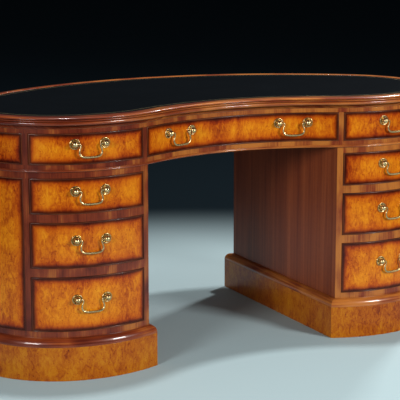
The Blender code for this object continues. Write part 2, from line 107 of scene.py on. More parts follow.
def linePoint(length, offset=0.0):
    # point at a distance along the line from the front centre, left of it negative
    if length > halfLength:
        length -= 2 * halfLength
    rest = abs(length)
    arc, share = arcs[-1], 1.0
    for candidate, arcLength in zip(arcs, arcLengths):
        if rest <= arcLength:
            arc, share = candidate, rest / arcLength
            break
        rest -= arcLength
    cx, cy, radius, first, last = arc
    heading = first + (last - first) * share
    reach = radius + offset
    x = copysign(cx + reach * sin(heading), length)
    return Vector((x, cy - reach * cos(heading), 0))


def lengthAtX(x, offset=0.0, back=False):
    # distance along the line at which it crosses x, when moved out by offset
    start, found, slack = 0.0, [], deskLine["slack"]
    for (cx, cy, radius, first, last), arcLength in zip(arcs, arcLengths):
        sine = (abs(x) - cx) / (radius + offset)
        if abs(sine) <= 1:
            heading = pi - asin(sine) if back else asin(sine)
            share = (heading - first) / (last - first)
            if -slack <= share <= 1 + slack:
                found.append(start + arcLength * share)
        start += arcLength
    return copysign(found[-1] if back else found[0], x)


def yAtX(x, offset=0.0, back=False):
    return linePoint(lengthAtX(x, offset, back), offset).y


# Helpers that build meshes from sheets of points

def spaced(first, last, count):
    return [first + (last - first) * k / count for k in range(count + 1)]


def stepsAlong(distance):
    return max(1, ceil(abs(distance) / deskLine["facet"]))


def lift(points, z):
    return [Vector((p.x, p.y, z)) for p in points]


def nextLeaf():
    return leaves.uniform(0, leafSpread), leaves.uniform(0, leafSpread)


def grainPair(along, up, leaf, cross=False):
    # the first number runs along the grain: up the board where it is cross-banded
    return (up + leaf[0], along + leaf[1]) if cross else (along + leaf[0], up + leaf[1])


def addObject(name, data):
    piece = bpy.data.objects.new(name, data)
    bpy.context.scene.collection.objects.link(piece)
    return piece


meshing = {"merge": 1e-6, "leastEdge": 1e-7, "creaseDeg": 32, "bevelDeg": 40, "bevelSegments": 2}


class Shape:
    # gathers sheets of points with their grain and edge distances, and makes one piece of them
    farMargin = (1.0, 1.0)

    def __init__(self):
        self.points, self.faces, self.grain, self.margin, self.slots = [], [], [], [], []

    def sheet(self, rows, grain, slot=0, margin=None):
        start, width = len(self.points), len(rows[0])
        for row in rows:
            self.points.extend(row)
        for r in range(len(rows) - 1):
            for c in range(width - 1):
                corners = ((r, c), (r, c + 1), (r + 1, c + 1), (r + 1, c))
                self.faces.append([start + a * width + b for a, b in corners])
                self.grain.extend(grain[a][b] for a, b in corners)
                self.margin.extend(margin[a][b] if margin else self.farMargin for a, b in corners)
                self.slots.append(slot)

    def cap(self, points, grain, slot=0):
        start = len(self.points)
        self.points.extend(points)
        self.faces.append(list(range(start, start + len(points))))
        self.grain.extend(grain)
        self.margin.extend([self.farMargin] * len(points))
        self.slots.append(slot)

    def make(self, name, materials, bevel=0.0, creaseDeg=meshing["creaseDeg"]):
        mesh = bpy.data.meshes.new(name)
        mesh.from_pydata(self.points, [], self.faces)
        for layerName, values in (("grain", self.grain), ("margin", self.margin)):
            layer = mesh.uv_layers.new(name=layerName)
            layer.uv.foreach_set("vector", [number for pair in values for number in pair])
        mesh.polygons.foreach_set("material_index", self.slots)
        for material in materials:
            mesh.materials.append(material)
        bm = bmesh.new()
        bm.from_mesh(mesh)
        bmesh.ops.remove_doubles(bm, verts=bm.verts, dist=meshing["merge"])
        bmesh.ops.dissolve_degenerate(bm, edges=bm.edges, dist=meshing["leastEdge"])
        bmesh.ops.recalc_face_normals(bm, faces=bm.faces)
        bm.to_mesh(mesh)
        bm.free()
        mesh.shade_smooth()
        mesh.set_sharp_from_angle(angle=radians(creaseDeg))
        piece = addObject(name, mesh)
        if bevel:
            modifier = piece.modifiers.new("edges", "BEVEL")
            modifier.width = bevel
            modifier.segments = meshing["bevelSegments"]
            modifier.limit_method = "ANGLE"
            modifier.angle_limit = radians(meshing["bevelDeg"])
            modifier.harden_normals = True
        return piece


def seat(piece, body, slot, *nodes):
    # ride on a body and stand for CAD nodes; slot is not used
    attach(piece, body)
    if nodes:
        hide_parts(*nodes)


def lengthSpan(one, two):
    # stretch of the line between two distances, the same at every depth
    first, last = sorted((one, two))
    return lambda inset, offset: (first + inset, last - inset)


def squareSpan(x0, x1, back=False):
    # stretch whose ends are cut square to X
    ends = sorted((x0, x1), key=lambda x: lengthAtX(x, 0.0, back))
    sign = 1 if ends[1] > ends[0] else -1
    return lambda inset, offset: (lengthAtX(ends[0] + sign * inset, offset, back),
                                  lengthAtX(ends[1] - sign * inset, offset, back))


def stileSpan(x, width):
    # stretch from an end square to X, away from the middle, to an end square to the line
    far = lengthAtX(x) + copysign(width, x)
    if x > 0:
        return lambda inset, offset: (lengthAtX(x, offset), far)
    return lambda inset, offset: (far, lengthAtX(x, offset))


def runOf(span, inset, offset, count):
    return [linePoint(length, offset) for length in spaced(*span(inset, offset), count)]


def bentBoard(shape, span, depth, heights, slots, cross=False, inset=0.0, endSlots=None):
    # board that follows the line and goes in to depth; slots are those of its face and of the rest
    low, high = heights[0] + inset, heights[1] - inset
    first, last = span(inset, 0.0)
    count = stepsAlong(last - first)
    lengths = spaced(first, last, count)
    outside, inside = (runOf(span, inset, offset, count) for offset in (0.0, -depth))
    leaf = nextLeaf()
    rows = (low, (low + high) / 2, high)

    def grainRow(v):
        return [grainPair(length, v, leaf, cross) for length in lengths]

    margin = [[(min(length - first, last - length), min(z - low, high - z)) for length in lengths]
              for z in rows]
    shape.sheet([lift(outside, z) for z in rows], [grainRow(z) for z in rows], slots[0], margin)
    turn = high + depth
    topEdges, footEdges = (lift(outside, high), lift(inside, high)), (lift(inside, low), lift(outside, low))
    shape.sheet(topEdges, [grainRow(high), grainRow(turn)], slots[1])
    shape.sheet((topEdges[1], footEdges[0]), [grainRow(turn), grainRow(turn + high - low)], slots[1])
    shape.sheet(footEdges, [grainRow(low - depth), grainRow(low)], slots[1])
    for k, end in enumerate((0, -1)):
        sides = [[Vector((run[end].x, run[end].y, z)) for z in rows] for run in (outside, inside)]
        grain = [[grainPair(lengths[end] + move, z, leaf, cross) for z in rows] for move in (0, depth)]
        shape.sheet(sides, grain, endSlots[k] if endSlots else slots[1])


cockBead = {"width": 0.0034, "stand": 0.0018, "shoulder": 0.0002, "noseSteps": 8}


def beadFrame(shape, span, heights, depth):
    # cock-bead mitred round a field of the line: a thin lip let in to depth, with a round nose
    width, shoulder = cockBead["width"], cockBead["shoulder"]
    low, high = heights
    profile = [(0.0, -depth), (0.0, shoulder)]
    for turn in spaced(0, pi, cockBead["noseSteps"])[1:-1]:
        profile.append((width * (1 - cos(turn)) / 2,
                        shoulder + (cockBead["stand"] - shoulder) * sin(turn)))
    profile += [(width, shoulder), (width, -depth)]
    profile.append(profile[0])
    first, last = span(0.0, 0.0)
    count = stepsAlong(last - first)
    leaf = nextLeaf()
    along = spaced(0, last - first, count)
    lengths = along + [last - first + high - low + x for x in along] + [2 * (last - first + high - low)]
    rows, grain, girth = [], [], 0.0
    for k, (inset, offset) in enumerate(profile):
        if k:
            girth += dist(profile[k], profile[k - 1])
        run = runOf(span, inset, offset, count)
        loop = lift(run, low + inset) + lift(run[::-1], high - inset)
        rows.append(loop + [loop[0]])
        grain.append([grainPair(length, girth, leaf) for length in lengths])
    shape.sheet(rows, grain)


def beadedField(core, beads, span, heights, depth, slots):
    # veneered field with its cock-bead
    bentBoard(core, span, depth, heights, slots, False, cockBead["width"])
    beadFrame(beads, span, heights, depth)


def ringOf(shape, loop, lengths, profile, slots=None, cross=False):
    # closed ring with the section profile, a list of (offset, height), and a slot for each of its sides
    leaf = nextLeaf()
    closed = list(profile) + [profile[0]]
    girth = 0.0
    for k, (one, two) in enumerate(zip(closed, closed[1:])):
        step = dist(one, two)
        rows = [lift(loop(offset), z) for offset, z in (one, two)]
        grain = [[grainPair(length, across, leaf, cross) for length in lengths]
                 for across in (girth, girth + step)]
        shape.sheet(rows, grain, slots[k] if slots else 0)
        girth += step


fullLengths = spaced(-halfLength, halfLength, stepsAlong(2 * halfLength))


def fullLoop(offset):
    return [linePoint(length, offset) for length in fullLengths]


# round a pedestal: along the line from the kneehole's front edge to its back edge, then straight forward
kneeholeFront, kneeholeBack = (lengthAtX(layout["kneeholeHalf"], 0.0, back) for back in (False, True))
pedestalCurve = kneeholeBack - kneeholeFront
pedestalDepth = yAtX(layout["kneeholeHalf"], 0.0, True) - yAtX(layout["kneeholeHalf"])
pedestalSteps = stepsAlong(pedestalCurve)
straightSteps = 60
pedestalLengths = (spaced(0, pedestalCurve, pedestalSteps)
                   + [pedestalCurve + pedestalDepth * k / straightSteps for k in range(1, straightSteps + 1)])


def pedestalLoop(side, offset):
    corner = layout["kneeholeHalf"] - offset
    first, last = lengthAtX(corner, offset), lengthAtX(corner, offset, True)
    points = [linePoint(length, offset) for length in spaced(first, last, pedestalSteps)]
    straight = [points[-1].lerp(points[0], share) for share in spaced(0, 1, straightSteps)[1:]]
    return [Vector((side * p.x, p.y, 0)) for p in points + straight]


def plate(shape, outline, heights, alongX=True, slots=(0, 0, 0)):
    # flat board on an outline; slots are those of its upper face, its edge and its lower face
    leaf = nextLeaf()
    low, high = heights

    def grainAt(p, extra=0.0):
        return grainPair(p.x if alongX else p.y, (p.y if alongX else p.x) + extra, leaf)

    for z, slot in ((high, slots[0]), (low, slots[2])):
        shape.cap(lift(outline, z), [grainAt(p) for p in outline], slot)
    loop = list(outline) + [outline[0]]
    shape.sheet([lift(loop, high), lift(loop, low)],
                [[grainAt(p) for p in loop], [grainAt(p, high - low) for p in loop]], slots[1])


def boxBoard(shape, xRange, yRange, heights, alongX=True, slot=0):
    (x0, x1), (y0, y1) = sorted(xRange), sorted(yRange)
    outline = [Vector((x, y, 0)) for x, y in ((x0, y0), (x1, y0), (x1, y1), (x0, y1))]
    plate(shape, outline, heights, alongX, (slot,) * 3)


# Materials

def newMaterial(name):
    material = bpy.data.materials.new(name)
    material.use_nodes = True
    return material, material.node_tree, material.node_tree.nodes["Principled BSDF"]


def setInputs(tree, node, inputs):
    # link a socket or set a value; colours are given without their alpha
    for key, value in inputs.items():
        socket = node.inputs[key]
        if isinstance(value, bpy.types.NodeSocket):
            tree.links.new(value, socket)
        else:
            socket.default_value = (*value, 1) if socket.type == "RGBA" else value


def addNode(tree, kind, inputs, **settings):
    node = tree.nodes.new("ShaderNode" + kind)
    for key, value in settings.items():
        setattr(node, key, value)
    setInputs(tree, node, inputs)
    return node


def rampOf(tree, factor, stops):
    node = addNode(tree, "ValToRGB", {"Fac": factor})
    elements = node.color_ramp.elements
    while len(elements) < len(stops):
        elements.new(0.5)
    for element, (place, colour) in zip(elements, stops):
        element.position = place
        element.color = (*colour, 1)
    return node.outputs["Color"]


def mixOf(tree, factor, one, two, blend="MIX"):
    inputs = {0: factor, 6: one, 7: two}
    return addNode(tree, "Mix", inputs, data_type="RGBA", blend_type=blend).outputs[2]


def mathOf(tree, operation, one, two=0.0):
    return addNode(tree, "Math", {0: one, 1: two}, operation=operation).outputs[0]


def rangeOf(tree, value, low, high, outLow=0.0, outHigh=1.0, kind="SMOOTHSTEP"):
    inputs = {"Value": value, "From Min": low, "From Max": high, "To Min": outLow, "To Max": outHigh}
    return addNode(tree, "MapRange", inputs, interpolation_type=kind).outputs["Result"]


def noiseOf(tree, vector, scale, detail, rough, twist=0.0):
    inputs = {"Vector": vector, "Scale": scale, "Detail": detail, "Roughness": rough, "Distortion": twist}
    return addNode(tree, "TexNoise", inputs).outputs["Fac"]


def cellsOf(tree, vector, scale):
    return addNode(tree, "TexVoronoi", {"Vector": vector, "Scale": scale}).outputs["Distance"]


def bumpOf(tree, height, strength, distance):
    inputs = {"Height": height, "Strength": strength, "Distance": distance}
    return addNode(tree, "Bump", inputs).outputs["Normal"]


def grainVector(tree, stretch=(1.0, 1.0)):
    uv = addNode(tree, "UVMap", {}, uv_map="grain").outputs["UV"]
    return addNode(tree, "Mapping", {"Vector": uv, "Scale": (*stretch, 1.0)}).outputs["Vector"]


def marginPair(tree):
    # the two numbers kept in the margin layer
    uv = addNode(tree, "UVMap", {}, uv_map="margin").outputs["UV"]
    parts = addNode(tree, "SeparateXYZ", {"Vector": uv}).outputs
    return parts["X"], parts["Y"]


def objectPlace(tree):
    return addNode(tree, "TexCoord", {}).outputs["Object"]


def polish(tree, shader, finish, colour, height):
    rough, specular, coat, coatRough, strength, depth = finish["polish"]
    setInputs(tree, shader, {
        "Base Color": colour,
        "Roughness": rough,
        "Specular IOR Level": specular,
        "Coat Weight": coat,
        "Coat Roughness": coatRough,
        "Normal": bumpOf(tree, height, strength, depth),
    })


# polish is the roughness, specular level, coat, coat's roughness, and the bump's strength and depth
# each noise is given by its scale, detail, roughness and distortion
burrFinish = {
    "polish": (0.34, 0.12, 0.25, 0.05, 0.12, 0.0004),
    "stretch": (1.0, 0.45),  # below 1 draws the figure out along that way
    "blotch": (15.0, 2.0, 0.5, 0.6),
    "cloud": (105.0, 4.0, 0.58, 1.2),
    "fleck": (360.0, 3.0, 0.6, 0.8),
    "blotchShare": 0.48,
    "cloudShare": 0.52,
    "fleckShare": 0.24,
    "eyeScale": 90.0,
    "eye": (0.06, 0.20, 0.16, 0.0),  # from an eye's middle to its rim, and how much darker it is at both
    "tones": ((0.26, (0.15, 0.018, 0.001)), (0.37, (0.33, 0.052, 0.002)), (0.47, (0.50, 0.118, 0.003)),
              (0.57, (0.62, 0.192, 0.004)), (0.72, (0.70, 0.290, 0.012))),
    # stain and painted shade: a ramp by distance from a field's edge, near-black at the edge, where it stands
    # partly for the cock-bead's shade
    "edgeStainShade": ((0.0, (0.07, 0.03, 0.04)), (0.11, (0.17, 0.07, 0.08)), (0.27, (0.60, 0.32, 0.30)),
              (0.48, (0.88, 0.68, 0.60)), (1.0, (1.0, 1.0, 1.0))),
    "edgeStainShadeEnd": 0.036,
    "edgeStainShadeWander": 0.003,
    "plinthDeep": 0.72,
}


def burrMaterial(name, stainedAndShaded=True, deep=1.0):
    # burr veneer; the second argument darkens it towards the edges of each field, part real stain and part
    # painted shade of the cock-bead, deep below 1 darkens it all over
    b = burrFinish
    material, tree, shader = newMaterial(name)
    vector = grainVector(tree, b["stretch"])
    blotch = noiseOf(tree, vector, *b["blotch"])
    cloud = noiseOf(tree, vector, *b["cloud"])
    fleck = noiseOf(tree, grainVector(tree), *b["fleck"])
    eyes = cellsOf(tree, grainVector(tree), b["eyeScale"])
    figure = mathOf(tree, "ADD", mathOf(tree, "MULTIPLY", cloud, b["cloudShare"]),
                    mathOf(tree, "MULTIPLY", blotch, b["blotchShare"]))
    flecks = mathOf(tree, "MULTIPLY", mathOf(tree, "SUBTRACT", fleck, 0.5), b["fleckShare"])
    figure = mathOf(tree, "ADD", figure, flecks)
    figure = mathOf(tree, "SUBTRACT", figure, rangeOf(tree, eyes, *b["eye"]))
    colour = rampOf(tree, figure, [(place, [c * deep for c in tone]) for place, tone in b["tones"]])
    # painted shade with a stain: each field darkens towards its edges, partly standing for the cock-bead's
    # shade
    if stainedAndShaded:
        edge = mathOf(tree, "MINIMUM", *marginPair(tree))
        wander = mathOf(tree, "MULTIPLY", mathOf(tree, "SUBTRACT", blotch, 0.5), b["edgeStainShadeWander"] * 2)
        edge = mathOf(tree, "DIVIDE", mathOf(tree, "ADD", edge, wander), b["edgeStainShadeEnd"])
        colour = mixOf(tree, 1.0, colour, rampOf(tree, edge, b["edgeStainShade"]), "MULTIPLY")
    polish(tree, shader, b, colour, fleck)
    return material


# what the straight-grained woods have in common: their noises, and where their tones and pores set in
woodGrain = {
    "streak": (1.0, 4.0, 0.6, 0.5),
    "tone": (1.0, 2.0, 0.5, 0.4),
    "pore": (1.0, 2.0, 0.5),
    "places": (0.34, 0.50, 0.66),
    "poreRange": (0.30, 0.46),
    # painted light along X: the tone leans darker and redder at the left end and lighter from the middle
    # rightwards
    "paintedLightAlongX": (-0.80, 0.15, -0.07, 0.09),  # two places along X, and the lean to the light tone at both
}
# tones are the dark, the middle and the light one; streak, tone and pore scale the noises along and across
woods = {
    "crossbanding": {
        "tones": ((0.085, 0.010, 0.004), (0.190, 0.032, 0.009), (0.400, 0.130, 0.022)), "paintsLightAlongX": True,
        "streak": (9.0, 240.0), "tone": (8.0, 17.0), "pore": (120.0, 1500.0), "streakShare": 0.34,
        "poreDark": 0.72, "polish": (0.34, 0.2, 0.3, 0.05, 0.10, 0.0003),
    },
    "polishedMoulding": {
        "tones": ((0.085, 0.009, 0.003), (0.220, 0.038, 0.009), (0.460, 0.145, 0.024)), "paintsLightAlongX": True,
        "streak": (4.0, 170.0), "tone": (7.0, 10.0), "pore": (60.0, 1400.0), "streakShare": 0.5,
        "poreDark": 0.75, "polish": (0.30, 0.25, 0.5, 0.05, 0.08, 0.0003),
    },
    "kneeholeMahogany": {
        "tones": ((0.120, 0.022, 0.008), (0.210, 0.044, 0.013), (0.290, 0.070, 0.021)),
        "streak": (1.6, 75.0), "tone": (1.2, 14.0), "pore": (40.0, 1100.0), "streakShare": 0.55,
        "poreDark": 0.70, "polish": (0.42, 0.15, 0.10, 0.15, 0.15, 0.0003),
    },
    "darkCockBead": {
        "tones": ((0.030, 0.005, 0.002), (0.070, 0.013, 0.004), (0.150, 0.036, 0.008)),
        "streak": (6.0, 300.0), "tone": (9.0, 9.0), "pore": (90.0, 1800.0), "streakShare": 0.5,
        "poreDark": 0.8, "polish": (0.32, 0.2, 0.18, 0.08, 0.05, 0.0002),
    },
    "oakLining": {
        "tones": ((0.300, 0.170, 0.075), (0.470, 0.300, 0.150), (0.600, 0.420, 0.230)),
        "streak": (3.0, 130.0), "tone": (2.0, 12.0), "pore": (45.0, 900.0), "streakShare": 0.6,
        "poreDark": 0.62, "polish": (0.55, 0.4, 0.05, 0.3, 0.25, 0.0004),
    },
    "innerCarcass": {
        "tones": ((0.150, 0.070, 0.030), (0.250, 0.130, 0.060), (0.340, 0.190, 0.090)),
        "streak": (2.5, 90.0), "tone": (2.0, 8.0), "pore": (40.0, 700.0), "streakShare": 0.6,
        "poreDark": 0.8, "polish": (0.65, 0.4, 0.0, 0.3, 0.25, 0.0004),
    },
}


def streakMaterial(name):
    # straight-grained wood: streaks along the grain, a slow change of tone, fine pores
    finish = woods[name]
    material, tree, shader = newMaterial(name)
    streak, tone, pore = (noiseOf(tree, grainVector(tree, finish[kind]), *woodGrain[kind])
                          for kind in ("streak", "tone", "pore"))
    mixed = mathOf(tree, "ADD", mathOf(tree, "MULTIPLY", streak, finish["streakShare"]),
                   mathOf(tree, "MULTIPLY", tone, 1 - finish["streakShare"]))
    # painted light: darker at the left, lighter at the middle and right, by place along X
    if finish.get("paintsLightAlongX"):
        place = addNode(tree, "SeparateXYZ", {"Vector": objectPlace(tree)}).outputs["X"]
        mixed = mathOf(tree, "ADD", mixed, rangeOf(tree, place, *woodGrain["paintedLightAlongX"]))
    colour = rampOf(tree, mixed, list(zip(woodGrain["places"], finish["tones"])))
    pores = rangeOf(tree, pore, *woodGrain["poreRange"], finish["poreDark"], 1.0)
    polish(tree, shader, finish, mixOf(tree, 1.0, colour, pores, "MULTIPLY"), pore)
    return material


leatherFinish = {
    "colour": (0.0030, 0.0040, 0.0052),
    "light": (0.0045, 0.0058, 0.0072),
    "gilt": (0.30, 0.24, 0.12),
    "roughness": 0.55,
    "specular": 0.003,
    "cellScale": 620.0,
    "wear": (6.0, 4.0, 0.6),
    "giltLines": ((0.0174, 0.0006), (0.0222, 0.0006)),  # distance from the edge and half width
    "lineSoft": (0.8, 1.2),
    "giltDots": (0.0198, 0.0011, 0.0052),  # distance from the edge, half size and pitch
    "dotSoft": (0.85, 1.15),
    "rubbed": (90.0, 3.0, 0.6),
    "rubbedRange": (0.30, 0.62, 0.2, 0.7),
    "giltMetal": 0.9,
    "giltSunk": 0.8,
    "bump": (0.30, 0.0003),
}


def leatherMaterial(name):
    # near-black hide with a fine grain and a tooled gilt border; its margin layer holds the distance from
    # the edge and the length along it
    hide = leatherFinish
    material, tree, shader = newMaterial(name)
    vector = grainVector(tree)
    cells = cellsOf(tree, vector, hide["cellScale"])
    wear = noiseOf(tree, vector, *hide["wear"])
    inward, along = marginPair(tree)

    def fromEdge(middle):
        return mathOf(tree, "ABSOLUTE", mathOf(tree, "SUBTRACT", inward, middle))

    def within(away, size, soft):
        return rangeOf(tree, away, size * soft[0], size * soft[1], 1.0, 0.0)

    lines = [within(fromEdge(middle), half, hide["lineSoft"]) for middle, half in hide["giltLines"]]
    gilt = mathOf(tree, "MAXIMUM", *lines)
    middle, radius, pitch = hide["giltDots"]
    phase = mathOf(tree, "FRACT", mathOf(tree, "DIVIDE", along, pitch))
    phase = mathOf(tree, "MULTIPLY", mathOf(tree, "SUBTRACT", phase, 0.5), pitch)
    away = mathOf(tree, "ADD", mathOf(tree, "ABSOLUTE", phase), fromEdge(middle))
    gilt = mathOf(tree, "MAXIMUM", gilt, within(away, radius, hide["dotSoft"]))
    rubbed = rangeOf(tree, noiseOf(tree, vector, *hide["rubbed"]), *hide["rubbedRange"])
    gilt = mathOf(tree, "MULTIPLY", gilt, rubbed)
    base = mixOf(tree, wear, hide["colour"], hide["light"])
    height = mathOf(tree, "SUBTRACT", cells, mathOf(tree, "MULTIPLY", gilt, hide["giltSunk"]))
    setInputs(tree, shader, {
        "Base Color": mixOf(tree, gilt, base, hide["gilt"]),
        "Metallic": mathOf(tree, "MULTIPLY", gilt, hide["giltMetal"]),
        "Roughness": hide["roughness"],
        "Specular IOR Level": hide["specular"],
        "Normal": bumpOf(tree, height, *hide["bump"]),
    })
    return material


brassFinish = {
    "colour": (0.72, 0.55, 0.27),
    "tarnish": (0.42, 0.31, 0.14),
    "roughness": (0.27, 0.42),  # bright and tarnished
    "patch": (160.0, 4.0, 0.6),
    "patchRange": (0.42, 0.72, 0.0, 0.75),
    "fine": (1400.0, 2.0, 0.5),
    "bump": (0.04, 0.0002),
}


def brassMaterial(name):
    material, tree, shader = newMaterial(name)
    place = objectPlace(tree)
    amount = rangeOf(tree, noiseOf(tree, place, *brassFinish["patch"]), *brassFinish["patchRange"])
    fine = noiseOf(tree, place, *brassFinish["fine"])
    setInputs(tree, shader, {
        "Base Color": mixOf(tree, amount, brassFinish["colour"], brassFinish["tarnish"]),
        "Roughness": rangeOf(tree, amount, 0.0, 1.0, *brassFinish["roughness"], "LINEAR"),
        "Metallic": 1.0,
        "Normal": bumpOf(tree, fine, *brassFinish["bump"]),
    })
    return material


burr = burrMaterial("burrWalnut")
plinthBurr = burrMaterial("plinthBurr", False, burrFinish["plinthDeep"])
crossband, moulding, mahogany, darkBead, oak, innerWood = [streakMaterial(name) for name in woods]
leather = leatherMaterial("writingHide")
brass = brassMaterial("polishedBrass")
print("materials made")


# Camera and light

view = {
    "place": (-2.1166, -4.2110, 1.3737),
    "pitch": -0.1933,
    "yaw": -0.4729,
    "lens": 132.2,
    "sensor": 36.0,
    "shift": (-0.0101, -0.0283),
    "clipEnd": 100.0,
}
# heading from the front and height, both in degrees, then distance, size and power
lamps = {
    "left": (58.0, 16.0, 5.0, (1.30, 1.0), 112.0),
    "right": (-28.0, 21.0, 5.0, (1.05, 1.0), 180.0),
    "over": (180.0, 85.0, 6.0, (0.45, 0.45), 215.0),
    "behind": (-121.0, 42.0, 5.0, (0.4, 0.4), 118.0),
}
lampTarget = Vector((0, 0, 0.45))
# the colour that the camera sees, that polish mirrors and that fills the shadows
surround = {"seen": (0.006, 0.009, 0.012), "gloss": (0.022, 0.024, 0.026), "fill": (0.14, 0.145, 0.15)}
# painted pool of light: the floor's colour is pale round the middle and fades to a painted dark between the
# two radii
floor = {
    "colour": (0.385, 0.495, 0.515),
    "far": (0.006, 0.010, 0.013),
    "middle": (-0.2, -0.5, 0.0),
    "paintedPoolFrom": 1.20,
    "paintedPoolTo": 2.42,
    "size": 40.0,
    "roughness": 0.7,
    "specular": 0.0,
}


def addCamera():
    data = bpy.data.cameras.new("photoView")
    data.lens, data.sensor_width = view["lens"], view["sensor"]
    data.shift_x, data.shift_y = view["shift"]
    data.clip_end = view["clipEnd"]
    camera = addObject("photoView", data)
    camera.location = view["place"]
    camera.rotation_euler = (pi / 2 + view["pitch"], 0, view["yaw"])
    bpy.context.scene.camera = camera


def addLamps():
    for name, (headingDeg, riseDeg, distance, size, power) in lamps.items():
        data = bpy.data.lights.new(name, "AREA")
        data.shape = "RECTANGLE"
        data.size, data.size_y = size
        data.energy = power
        heading, rise = radians(headingDeg), radians(riseDeg)
        level = cos(rise)
        away = Vector((-sin(heading) * level, -cos(heading) * level, sin(rise)))
        light = addObject(name, data)
        light.location = lampTarget + away * distance
        light.rotation_euler = (-away).to_track_quat("-Z", "Y").to_euler()


def addSurround():
    world = bpy.data.worlds.new("studio")
    bpy.context.scene.world = world
    world.use_nodes = True
    tree = world.node_tree
    rays = addNode(tree, "LightPath", {}).outputs
    around = mixOf(tree, rays["Is Glossy Ray"], surround["fill"], surround["gloss"])
    around = mixOf(tree, rays["Is Camera Ray"], around, surround["seen"])
    setInputs(tree, tree.nodes["Background"], {"Color": around})


def addFloor():
    bpy.ops.mesh.primitive_plane_add(size=floor["size"])
    plane = bpy.context.object
    plane.name = "floor"
    material, tree, shader = newMaterial("floor")
    ends = {0: objectPlace(tree), 1: floor["middle"]}
    reach = addNode(tree, "VectorMath", ends, operation="DISTANCE").outputs["Value"]
    # painted pool of light: pale near the middle, painted dark far from it
    share = rangeOf(tree, reach, floor["paintedPoolFrom"], floor["paintedPoolTo"])
    setInputs(tree, shader, {
        "Base Color": mixOf(tree, share, floor["colour"], floor["far"]),
        "Roughness": floor["roughness"],
        "Specular IOR Level": floor["specular"],
    })
    plane.data.materials.append(material)


addCamera()
addLamps()
addSurround()
addFloor()
bpy.context.scene.view_settings.view_transform = "Standard"
print("camera, lamps and floor made")


# Top: board, reeded edge and leather

topEdge = {
    "margin": 0.037,  # width of the wood outside the leather
    "gap": 0.0003,
    "frameInset": 0.006,
    "eased": 0.0006,
    # each reed: outer share at its top, at its peak and at its foot, then the heights of the three as shares
    "reeds": ((0.42, 0.98, 0.82, 0.0, 0.19, 0.285), (0.82, 1.0, 0.82, 0.335, 0.425, 0.515),
              (0.82, 1.0, 0.76, 0.565, 0.76, 1.0)),
    "quirk": 0.12,  # how far the sunk line between two reeds goes in
    "steps": 7,
    "creaseDeg": 50,
}


def reedPoints():
    # outline of the reeds from the flat margin down, as shares of the overhang and the height
    points = []
    turns = spaced(0, pi / 2, topEdge["steps"])
    for outTop, outPeak, outFoot, top, peak, foot in topEdge["reeds"]:
        if points:
            points.append((outTop - topEdge["quirk"], (points[-1][1] + top) / 2))
        points += [(outTop + (outPeak - outTop) * sin(turn), top + (peak - top) * (1 - cos(turn)))
                   for turn in turns]
        points += [(outPeak - (outPeak - outFoot) * (1 - cos(turn)), peak + (foot - peak) * sin(turn))
                   for turn in turns[1:]]
    return points


def makeTop():
    low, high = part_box("top_edge_moulding")[0].z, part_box("top_edge_moulding")[1].z
    overhang, gap, eased = deskLine["topOverhang"], topEdge["gap"], topEdge["eased"]
    leatherEdge = overhang - topEdge["margin"]
    profile = [(leatherEdge, low), (leatherEdge, high - eased), (leatherEdge + eased, high)]
    profile += [(overhang * out, high - (high - low) * down) for out, down in reedPoints()]
    edge = Shape()
    ringOf(edge, fullLoop, fullLengths, profile, [0, 0, 1] + [0] * (len(profile) - 3))
    seat(edge.make("topEdgeMoulding", [moulding, crossband], creaseDeg=topEdge["creaseDeg"]),
         "root", "mahogany", "top_edge_moulding")

    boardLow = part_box("top_board")[0].z
    board = Shape()
    plate(board, fullLoop(-topEdge["frameInset"])[:-1], (boardLow, low - gap))
    plate(board, fullLoop(leatherEdge - gap)[:-1], (low - gap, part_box("top_board")[1].z))
    seat(board.make("topBoard", [moulding]), "root", "mahogany", "top_board")


# steps are the distances from the edge at which the hide has a row of points
hideBorder = {
    "edgeDrop": 0.0007,
    "sunk": 0.0003,
    "steps": (0.0, 0.0008, 0.0022, 0.006, 0.010, 0.014, 0.020, 0.030),
    "dropSteps": 2,
}


def makeLeather():
    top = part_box("writing_leather")[1].z - hideBorder["sunk"]
    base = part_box("writing_leather")[0].z
    edge = deskLine["topOverhang"] - topEdge["margin"] - topEdge["gap"]
    dropEnd = hideBorder["steps"][hideBorder["dropSteps"]]
    hide = Shape()
    rows, grain, margin = [], [], []
    for inward in hideBorder["steps"]:
        drop = hideBorder["edgeDrop"] * max(0.0, 1 - inward / dropEnd) ** 2
        points = lift(fullLoop(edge - inward), top - drop)
        rows.append(points)
        grain.append([(p.x, p.y) for p in points])
        margin.append([(inward, length) for length in fullLengths])
    hide.sheet(rows, grain, margin=margin)
    hide.cap(rows[-1][:-1], grain[-1][:-1])
    foot = lift(rows[0], base)
    hide.sheet([rows[0], foot], [grain[0], grain[0]])
    hide.cap(foot[:-1], grain[0][:-1])
    seat(hide.make("writingLeather", [leather]), "root", "black_leather", "writing_leather")


makeTop()
makeLeather()
print("top made")


# Carcass: frieze and pedestals

carcass = {
    "baseBoard": 0.010,
    "guideWall": 0.012,
    "runnerWidth": 0.013,
    "runnerHeight": 0.012,
    "eased": 0.0006,
    "panelSteps": 8,
}


def crossBoard(core, span, heights, endSlots=None):
    # rail or stile, veneered across
    bentBoard(core, span, wall, heights, (0, 1), True, 0.0, endSlots)


def addStiles(core, side, heights):
    # outer stile of the front and the stile between the end and the back
    crossBoard(core, stileSpan(side * sideOuterX, layout["endStile"]), heights)
    middle, half = side * backStileLength, layout["backStileHalf"]
    crossBoard(core, lengthSpan(middle - half, middle + half), heights)


def addPanels(core, beads, side, heights):
    # end panel and side back panel
    end = (lengthAtX(sideOuterX) + layout["endStile"], backStileLength - layout["backStileHalf"])
    back = (backStileLength + layout["backStileHalf"], lengthAtX(sideInnerX, 0.0, True))
    for first, last in (end, back):
        beadedField(core, beads, lengthSpan(side * first, side * last), heights, wall, (2, 1))


